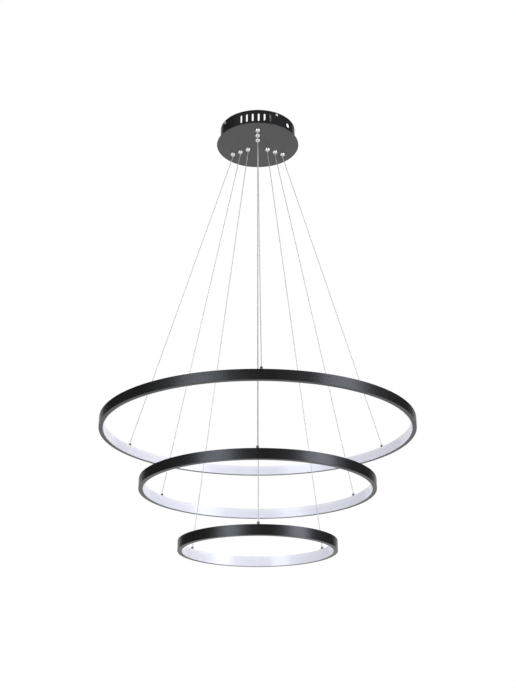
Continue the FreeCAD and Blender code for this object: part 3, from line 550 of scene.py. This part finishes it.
def round_normals(mesh):
    """Gives walls that face out from or in to the Z axis their true round normals."""
    mesh.shade_smooth()
    mesh.set_sharp_from_angle(angle=math.radians(ROUND_SHARP_ANGLE))
    normals = [Vector(n.vector) for n in mesh.corner_normals]
    for face in mesh.polygons:
        for corner in face.loop_indices:
            point = mesh.vertices[mesh.loops[corner].vertex_index].co
            out = Vector((point.x, point.y, 0)).normalized()
            along = face.normal.dot(out)
            if abs(along) > UPRIGHT_WALL:
                normals[corner] = out if along > 0 else -out
            elif abs(face.normal.z) > LEVEL_FACE:
                normals[corner] = face.normal.copy()
    mesh.normals_split_custom_set(normals)


def add_piece(name, shape, body, slot, replaced=(), finish=None, normals="angle"):
    """A finished bmesh as a piece on a body, shown in the place of CAD nodes."""
    made = object_of(name, shape)
    made.data.materials.append(FINISH[finish or slot])
    if normals == "round":
        round_normals(made.data)
    else:
        made.data.shade_smooth()
        made.data.set_sharp_from_angle(angle=math.radians(SHARP_ANGLE))
    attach(made, body)
    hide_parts(*replaced)
    return made


# ---------------------------------------------------------------- wires


def wire_ends(ring, wire):
    """Where a wire leaves its gripper, and where it goes into the fitting on its ring."""
    mouth = polar(GRIPPER_RADIUS[ring], WIRE_ANGLES[wire], MOUTH)
    head = polar(RING_RADIUS[ring] - RING_DEPTH / 2, WIRE_ANGLES[wire] + RING_TURN[ring],
                 RING_BOTTOM[ring] + RING_HEIGHT + FITTING_HEIGHT)
    return mouth, head


def wire_route(ring, wire):
    """Down out of the gripper, along the slanting run and straight down into the fitting.

    The curve touches the middle of each inner leg, so the lower bend ends above the bore.
    """
    mouth, head = wire_ends(ring, wire)
    across = Vector((head.x - mouth.x, head.y - mouth.y, 0)).length
    lean = math.atan2(across, mouth.z - head.z)
    back = WIRE_STRAIGHT + WIRE_BEND_RADIUS * math.tan(lean / 2)
    upper = mouth - Vector((0, 0, back))
    lower = head + Vector((0, 0, back))
    leg = 2 * back - WIRE_STRAIGHT
    step = (lower - upper).normalized() * leg
    inside = lower - Vector((0, 0, leg))
    bottom = head - Vector((0, 0, FITTING_BORE_DEPTH - FITTING_END_GAP))
    return [mouth, upper, upper + step, lower - step, lower, inside, bottom]


def spline_object(name, points):
    data = bpy.data.curves.new(name, "CURVE")
    data.dimensions = "3D"
    spline = data.splines.new("NURBS")
    spline.points.add(len(points) - 1)
    for place, point in zip(spline.points, points):
        place.co = (*point, 1.0)
    spline.order_u = 3
    spline.use_endpoint_u = True
    spline.resolution_u = WIRE_SPAN_STEPS
    made = bpy.data.objects.new(name, data)
    bpy.context.scene.collection.objects.link(made)
    return made


def lay_map(mesh, path):
    """A UV map whose U goes once round the wire and whose V counts the turns of its lay."""
    heights = [p.z for p in path]
    lengths = [0.0]
    for before, after in zip(path, path[1:]):
        lengths.append(lengths[-1] + (after - before).length)
    uvs = mesh.uv_layers.new(name="lay")

    def place_of(point):
        k = next((i for i in range(1, len(path)) if heights[i] <= point.z), len(path) - 1)
        share = (heights[k - 1] - point.z) / max(heights[k - 1] - heights[k], 1e-9)
        centre = path[k - 1].lerp(path[k], share)
        along = lengths[k - 1] + share * (lengths[k] - lengths[k - 1])
        return math.atan2(point.y - centre.y, point.x - centre.x) / math.tau, along / WIRE_LAY

    places = [place_of(vertex.co) for vertex in mesh.vertices]
    for face in mesh.polygons:
        turns = [places[mesh.loops[corner].vertex_index][0] for corner in face.loop_indices]
        for corner, turn in zip(face.loop_indices, turns):
            whole = 1.0 if max(turns) - turn > 0.5 else 0.0
            uvs.data[corner].uv = (turn + whole, places[mesh.loops[corner].vertex_index][1])


def add_wire(ring, wire):
    """One free wire as a mesh tube on its spline."""
    node = f"{ring}_ring_wire_{wire}"
    guide = spline_object("wire_guide", wire_route(ring, wire))
    bare = bpy.data.meshes.new_from_object(guide)
    path = [vertex.co.copy() for vertex in bare.vertices]
    guide.data.bevel_depth = WIRE_DIAMETER / 2
    guide.data.bevel_resolution = WIRE_SIDES_RESOLUTION
    guide.data.use_fill_caps = True
    bpy.context.view_layer.update()
    tube = bpy.data.meshes.new_from_object(guide)
    shape = bmesh.new()
    shape.from_mesh(tube)
    bmesh.ops.remove_doubles(shape, verts=shape.verts, dist=MERGE_DISTANCE)
    for used in (bare, tube):
        bpy.data.meshes.remove(used)
    bpy.data.objects.remove(guide)
    piece = add_piece(f"{node}_rope", shape, "canopy", "wire_steel", [node])
    while piece.data.uv_layers:
        piece.data.uv_layers.remove(piece.data.uv_layers[0])
    lay_map(piece.data, path)
    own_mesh(piece)


def add_wire_tails():
    """The ends of the wires inside the grippers, up to the crimps."""
    tails = []
    for ring in RINGS:
        for wire in WIRES:
            tail = rod(WIRE_DIAMETER / 2, MOUTH - WIRE_STRAIGHT / 2, WIRE_TAIL_TOP, WIRE_TAIL_SIDES)
            tails.append(placed(tail, at(polar(GRIPPER_RADIUS[ring], WIRE_ANGLES[wire]))))
    piece = add_piece("wire_tails", together(tails), "canopy", "wire_steel")
    lay = piece.data.uv_layers.new(name="lay")
    for loop in piece.data.loops:
        point = piece.data.vertices[loop.vertex_index].co
        lay.data[loop.index].uv = (0.0, point.z / WIRE_LAY)


# ---------------------------------------------------------------- rings


def ring_levels(ring):
    return RING_RADIUS[ring], RING_BOTTOM[ring], RING_BOTTOM[ring] + RING_HEIGHT


def ring_places(ring):
    radius = RING_RADIUS[ring] - RING_DEPTH / 2
    return [polar(radius, WIRE_ANGLES[wire] + RING_TURN[ring]) for wire in WIRES]


def add_profile(ring):
    """The black channel, open inwards, its outer edges rounded, its two ends met at the back."""
    outer, bottom, top = ring_levels(ring)
    lip, web = outer - RING_DEPTH + DIFFUSER_WALL, outer - PROFILE_WALL
    outline = outline_of([(lip, bottom), (outer, bottom), (outer, top), (lip, top),
                          (lip, top - PROFILE_WALL), (web, top - PROFILE_WALL),
                          (web, bottom + PROFILE_WALL), (lip, bottom + PROFILE_WALL)],
                         rounded=(1, 2), radius=PROFILE_ROUND, segments=3)
    shape = spun_with_joint(outline, RING_STEPS, JOINT_GAP, 90.0)
    screw_radius = outer - SPLICE_MIDDLE
    half = math.degrees(SPLICE_SCREW_SPACING / 2 / screw_radius)
    holes = [(FITTING_SHANK + SHANK_CLEARANCE, place) for place in ring_places(ring)]
    holes += [(SPLICE_HOLE, polar(screw_radius, 90 + side * half)) for side in (-1, 1)]
    low, high = top - 2 * PROFILE_WALL, top + PROFILE_WALL
    tools = [placed(rod(radius, low, high, SMALL_HOLE_STEPS), at(place)) for radius, place in holes]
    shape = carved(shape, together(tools))
    add_piece(f"{ring}_ring_channel", shape, f"{ring}_ring", "black_aluminium",
              [f"{ring}_ring_profile"], normals="round")


def add_diffuser(ring):
    """The opal band over the inner face, with its two clip legs."""
    outer, bottom, top = ring_levels(ring)
    inside = outer - RING_DEPTH
    back = inside + DIFFUSER_WALL
    low, high = bottom + PROFILE_WALL + LEG_CLEARANCE, top - PROFILE_WALL - LEG_CLEARANCE
    leg = back + DIFFUSER_LEG
    outline = outline_of([(inside, bottom), (back, bottom), (back, low), (leg, low),
                          (leg, low + DIFFUSER_WALL), (back, low + DIFFUSER_WALL),
                          (back, high - DIFFUSER_WALL), (leg, high - DIFFUSER_WALL), (leg, high),
                          (back, high), (back, top), (inside, top)],
                         rounded=(0, 11), radius=DIFFUSER_ROUND, segments=3)
    band = add_piece(f"{ring}_ring_opal_band", spun(outline, RING_STEPS), f"{ring}_ring",
                     "opal_diffuser", [f"{ring}_ring_diffuser"], normals="round")
    places = band.data.uv_layers.new(name="band")
    for loop in band.data.loops:
        point = band.data.vertices[loop.vertex_index].co
        turn = math.atan2(point.y, point.x) / math.tau
        places.data[loop.index].uv = (turn, (point.z - bottom) / RING_HEIGHT)


def add_fittings(ring):
    """The three small sockets on top of a ring."""
    _, _, top = ring_levels(ring)
    head, foot = top + FITTING_HEIGHT, top - FITTING_SHANK_LENGTH
    floor = head - FITTING_BORE_DEPTH
    sockets = []
    for place in ring_places(ring):
        outline = outline_of([(0, foot), (FITTING_SHANK, foot),
                              (FITTING_SHANK, top), (FITTING_RADIUS, top), (FITTING_RADIUS, head),
                              (BORE_RADIUS, head), (BORE_RADIUS, floor), (0, floor)],
                             rounded=(4,), radius=FITTING_ROUND, segments=5)
        sockets.append(placed(spun(outline, SOCKET_STEPS), at(place)))
    add_piece(f"{ring}_ring_sockets", together(sockets), f"{ring}_ring", "nickel",
              [f"{ring}_ring_wire_fittings"], finish="dark_nickel")


# ---------------------------------------------------------------- canopy


def vent_tool(angle):
    """A block with round ends that cuts one upright vent slot."""
    shape = bmesh.new()
    bmesh.ops.create_cube(shape, size=1.0)
    bmesh.ops.scale(shape, vec=(VENT_TOOL_DEPTH, VENT_WIDTH, VENT_HEIGHT), verts=shape.verts)
    along = [e for e in shape.edges if abs(e.verts[0].co.x - e.verts[1].co.x) > VENT_TOOL_DEPTH / 2]
    bmesh.ops.bevel(shape, geom=along, offset=VENT_WIDTH * VENT_END_ROUND, offset_type="OFFSET",
                    affect="EDGES", segments=VENT_END_STEPS, profile=0.5, material=-1)
    middle = (PLATE_TOP + DRUM_TOP) / 2
    turned = Matrix.Rotation(math.radians(angle), 4, "Z")
    return placed(shape, turned @ at((DRUM_RADIUS, 0, middle)))


def radial_tool(radius, angle, z):
    start, end = DRUM_INSIDE - TOOL_REACH, DRUM_RADIUS + TOOL_REACH
    return placed(rod(radius, start, end, LARGE_HOLE_STEPS), radial(angle, z))


def add_drum():
    """The drum's wall and its inward flange, with the vents, the cable hole and the screw holes."""
    inner = DRUM_RADIUS - DRUM_FLANGE
    outline = outline_of([(inner, PLATE_TOP), (DRUM_RADIUS, PLATE_TOP), (DRUM_RADIUS, DRUM_TOP),
                          (DRUM_INSIDE, DRUM_TOP), (DRUM_INSIDE, PLATE_TOP + DRUM_WALL),
                          (inner, PLATE_TOP + DRUM_WALL)],
                         rounded=(2, 3), radius=DRUM_ROUND, segments=2)
    shape = spun(outline, DRUM_STEPS)
    middle = (PLATE_TOP + DRUM_TOP) / 2
    tools = [vent_tool(VENT_CENTRE + VENT_PITCH * (k - (VENT_COUNT - 1) / 2))
             for k in range(VENT_COUNT)]
    tools.append(radial_tool(CABLE_HOLE_RADIUS, CABLE_HOLE_ANGLE, middle))
    tools += [radial_tool(SIDE_HOLE_RADIUS, angle, SIDE_SCREW_Z) for angle in BRACKET_ANGLES]
    for angle in STUD_ANGLES:
        tool = rod(STUD_HOLE_RADIUS, PLATE_TOP - STUD_TOOL_BELOW, PLATE_TOP + STUD_TOOL_ABOVE,
                   SMALL_HOLE_STEPS)
        tools.append(placed(tool, at(polar(STUD_CIRCLE, angle))))
    add_piece("canopy_drum_wall", carved(shape, together(tools)), "canopy", "black_steel",
              ["canopy_drum"], normals="round")


def gripper_places():
    return [(ring, wire, polar(GRIPPER_RADIUS[ring], WIRE_ANGLES[wire]))
            for ring in RINGS for wire in WIRES]


def add_base_plate():
    """The round plate with a rounded rim, nine gripper holes and its welded studs."""
    outline = outline_of([(0, CANOPY_BOTTOM), (PLATE_RADIUS, CANOPY_BOTTOM),
                          (PLATE_RADIUS, PLATE_TOP), (0, PLATE_TOP)],
                         rounded=(1, 2), radius=PLATE_ROUND, segments=4)
    shape = spun(outline, DRUM_STEPS)
    low, high = CANOPY_BOTTOM - PLATE_THICKNESS / 2, PLATE_TOP + PLATE_THICKNESS / 2
    holes = [placed(rod(PLATE_HOLE_RADIUS, low, high, LARGE_HOLE_STEPS), at(place))
             for _, _, place in gripper_places()]
    shape = carved(shape, together(holes))
    places = [polar(STUD_CIRCLE, angle) for angle in STUD_ANGLES] + [Vector((*EARTH_STUD, 0))]
    root, tip = PLATE_TOP - PLATE_THICKNESS / 2, PLATE_TOP + STUD_HEIGHT
    studs = [placed(rod(STUD_RADIUS, root, tip, SMALL_HOLE_STEPS), at(place)) for place in places]
    shape = carved(shape, together(studs), "UNION")
    # Painted light: the plate wears the lighter copy of black_steel.
    add_piece("canopy_plate", shape, "canopy", "black_steel", ["canopy_base_plate"],
              finish="plate_steel_painted_light", normals="round")


def add_caps():
    """The nickel domes under the plate, each with a fine groove round its side."""
    shoulder = CANOPY_BOTTOM - CAP_SIDE
    seat = CAP_BOTTOM + CAP_FLOOR
    socket_floor = CANOPY_BOTTOM - CAP_SOCKET_DEPTH
    turns = [math.radians(90 * k / DOME_STEPS) for k in range(DOME_STEPS + 1)]
    dome = [(CAP_NOSE + (CAP_RADIUS - CAP_NOSE) * math.cos(turn),
             shoulder - (shoulder - CAP_BOTTOM) * math.sin(turn)) for turn in turns]
    groove = (CANOPY_BOTTOM + shoulder) / 2
    side = [(CAP_RADIUS, CANOPY_BOTTOM), (CAP_RADIUS, groove + CAP_GROOVE),
            (CAP_RADIUS - CAP_GROOVE, groove), (CAP_RADIUS, groove - CAP_GROOVE)]
    points = [(CAP_SOCKET, CANOPY_BOTTOM)] + side + dome
    points += [(CAP_HOLE, CAP_BOTTOM), (CAP_HOLE, seat), (CAVITY_RADIUS, seat),
               (CAVITY_RADIUS, socket_floor), (CAP_SOCKET, socket_floor)]
    caps = [placed(spun(outline_of(points), TURNED_STEPS), at(place))
            for _, _, place in gripper_places()]
    add_piece("gripper_domes", together(caps), "canopy", "nickel", ["gripper_caps"])


def add_plungers():
    """The push-in nozzles, each on its own body."""
    for ring, wire, place in gripper_places():
        outline = outline_of([(BORE_RADIUS, MOUTH), (PLUNGER_NECK, MOUTH),
                              (PLUNGER_NECK, HEAD_BOTTOM), (PLUNGER_HEAD, HEAD_BOTTOM),
                              (PLUNGER_HEAD, HEAD_TOP), (BORE_RADIUS, HEAD_TOP)],
                             rounded=(1, 4), radius=PLUNGER_ROUND, segments=4)
        nozzle = placed(spun(outline, TURNED_STEPS), at(place))
        node = f"gripper_plunger_{ring}_{wire}"
        add_piece(f"{node}_nozzle", nozzle, node, "nickel", [node])


def add_springs():
    """The coils between the nozzles and their grippers."""
    low, high = HEAD_TOP + SPRING_WIRE / 2, CAVITY_TOP - SPRING_WIRE / 2
    steps = SPRING_TURNS * SPRING_TURN_STEPS
    radius = (SPRING_DIAMETER - SPRING_WIRE) / 2
    start = at((radius, 0, low)) @ Matrix.Rotation(math.radians(90), 4, "X")
    for ring, wire, place in gripper_places():
        shape = bmesh.new()
        bmesh.ops.create_circle(shape, cap_ends=True, segments=SPRING_WIRE_SIDES,
                                radius=SPRING_WIRE / 2, matrix=start)
        bmesh.ops.spin(shape, geom=shape.faces[:] + shape.verts[:] + shape.edges[:],
                       cent=(0, 0, 0), axis=(0, 0, 1), dvec=(0, 0, (high - low) / steps),
                       angle=math.tau * SPRING_TURNS, steps=steps, use_merge=False)
        bmesh.ops.recalc_face_normals(shape, faces=shape.faces)
        piece = add_piece(f"gripper_spring_{ring}_{wire}", placed(shape, at(place)), "canopy",
                          "spring_steel", ["gripper_springs"])
        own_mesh(piece)


# ---------------------------------------------------------------- CAD nodes that stay in view


def finish_cad_nodes():
    for name, node in frame["nodes"].items():
        node.data.materials.clear()
        node.data.materials.append(FINISH[CAD_SLOTS[name]])


# ---------------------------------------------------------------- studio

FLOOR_Z = -2.5
FLOOR_SIZE = 400.0
CARD_DISTANCE = 5.5
CARD_LOW, CARD_HIGH = -2.3, 8.0
CARD_HALF_TURN = 145.0  # degrees each side of the camera
CARD_STEPS = 32
CARD_GREY = 0.03
FLOOR_GREY = 0.86
STAGE_CLOUD = 0.97  # of a stage piece's grey, in its darker clouds
DOME_LOW, DOME_HIGH = -0.2, 0.9  # Z of the directions between which the dome grows brighter
DOME_DIM, DOME_BRIGHT = 0.55, 1.0
LIGHT_TARGET = Vector((0, 0, -0.8))

# Name, azimuth from the camera's side and elevation in degrees, distance, width and height in
# metres, power in watts, colour, and whether the lamp's gloss or its colour sees it.
LIGHTS = (
    ("softbox_left", -38.0, 5.0, 4.2, 2.2, 2.4, 108.0, (0.78, 0.87, 1.0), "gloss"),
    ("softbox_right", 58.0, 5.0, 4.2, 2.2, 2.4, 138.0, (0.80, 0.83, 1.0), "gloss"),
    ("key_light", 10.0, 45.0, 4.5, 2.5, 2.5, 57.0, (1.0, 1.0, 1.0), "colour"),
    ("fill_light", 80.0, 15.0, 4.5, 2.5, 2.5, 40.0, (1.0, 1.0, 1.0), "colour"),
)


def stage_material(name, colour):
    made, tree, shader = new_material(name, {"Roughness": 0.9, "Specular IOR Level": 0.1})
    place = add(tree, "TexCoord").outputs["Object"]
    clouds = noise(tree, place, 0.8, 2.0)
    tone = mixed(tree, clouds, grey(colour), grey(colour * STAGE_CLOUD))
    tree.links.new(tone, shader.inputs["Base Color"])
    return made


def make_floor():
    """A wide pale floor, clear when seen from under it, so that views from below show the lamp."""
    shape = bmesh.new()
    bmesh.ops.create_grid(shape, x_segments=4, y_segments=4, size=FLOOR_SIZE / 2,
                          matrix=Matrix.Translation((0, 0, FLOOR_Z)))
    floor = object_of("floor", shape)
    paper = stage_material("floor_paper", FLOOR_GREY)
    tree = paper.node_tree
    below = add(tree, "NewGeometry").outputs["Backfacing"]
    clear = add(tree, "BsdfTransparent").outputs[0]
    mix = add(tree, "MixShader", {0: below, 1: tree.nodes["Principled BSDF"].outputs[0], 2: clear})
    tree.links.new(mix.outputs[0], tree.nodes["Material Output"].inputs["Surface"])
    floor.data.materials.append(paper)


def make_dark_card():
    """A curved dark card round the camera's side, which only the gloss of the lamp sees."""
    shape = bmesh.new()
    low = shape.verts.new((0, -CARD_DISTANCE, CARD_LOW))
    high = shape.verts.new((0, -CARD_DISTANCE, CARD_HIGH))
    edge = shape.edges.new((low, high))
    bmesh.ops.rotate(shape, cent=(0, 0, 0), verts=shape.verts,
                     matrix=Matrix.Rotation(math.radians(-CARD_HALF_TURN), 3, "Z"))
    bmesh.ops.spin(shape, geom=[low, high, edge], cent=(0, 0, 0), axis=(0, 0, 1),
                   angle=math.radians(2 * CARD_HALF_TURN), steps=CARD_STEPS, use_merge=False)
    card = object_of("dark_card", shape)
    card.data.materials.append(stage_material("card_felt", CARD_GREY))
    card.visible_camera = False
    card.visible_diffuse = False
    card.visible_transmission = False
    card.visible_shadow = False


def make_softbox(name, azimuth, elevation, distance, width, height, power, colour, seen_in):
    """An area light that is turned to the lamp, seen by its gloss or by its colour."""
    data = bpy.data.lights.new(name, "AREA")
    data.shape = "RECTANGLE"
    data.size = width
    data.size_y = height
    data.energy = power
    data.color = colour
    light = bpy.data.objects.new(name, data)
    turn, lift = math.radians(azimuth - 90), math.radians(elevation)
    level = math.cos(lift)
    away = Vector((math.cos(turn) * level, math.sin(turn) * level, math.sin(lift)))
    light.location = LIGHT_TARGET + away * distance
    light.rotation_euler = (-away).to_track_quat("-Z", "Y").to_euler()
    light.visible_camera = False
    light.visible_diffuse = seen_in == "colour"
    light.visible_glossy = seen_in == "gloss"
    bpy.context.scene.collection.objects.link(light)


def make_world():
    """White where the camera or a mirror looks, and a soft dome of light, brightest overhead."""
    world = bpy.data.worlds.new("studio")
    world.use_nodes = True
    bpy.context.scene.world = world
    tree = world.node_tree
    tree.nodes.clear()
    direction = add(tree, "TexCoord").outputs["Generated"]
    parts = add(tree, "SeparateXYZ", {"Vector": direction})
    up = ranged(tree, parts.outputs["Z"], DOME_LOW, DOME_HIGH, DOME_DIM, DOME_BRIGHT)
    light = add(tree, "Background", {"Color": grey(1.0), "Strength": up})
    backdrop = add(tree, "Background", {"Color": grey(1.0), "Strength": 1.0})
    path = add(tree, "LightPath")
    seen = add(tree, "Math", {0: path.outputs["Is Camera Ray"], 1: path.outputs["Is Glossy Ray"]},
               operation="ADD")
    shown = add(tree, "Math", {0: seen.outputs[0], 1: path.outputs["Is Transmission Ray"]},
                operation="ADD", use_clamp=True)
    mix = add(tree, "MixShader", {0: shown.outputs[0], 1: light.outputs[0], 2: backdrop.outputs[0]})
    end = add(tree, "OutputWorld")
    tree.links.new(mix.outputs[0], end.inputs["Surface"])


def make_studio():
    make_floor()
    make_dark_card()
    make_world()
    for light in LIGHTS:
        make_softbox(*light)
    bpy.context.scene.view_settings.view_transform = "Standard"


# ---------------------------------------------------------------- the whole scene

make_camera()
finish_cad_nodes()
for ring in RINGS:
    for wire in WIRES:
        add_wire(ring, wire)
add_wire_tails()
for ring in RINGS:
    add_profile(ring)
    add_diffuser(ring)
    add_fittings(ring)
add_drum()
add_base_plate()
add_caps()
add_plungers()
add_springs()
make_studio()
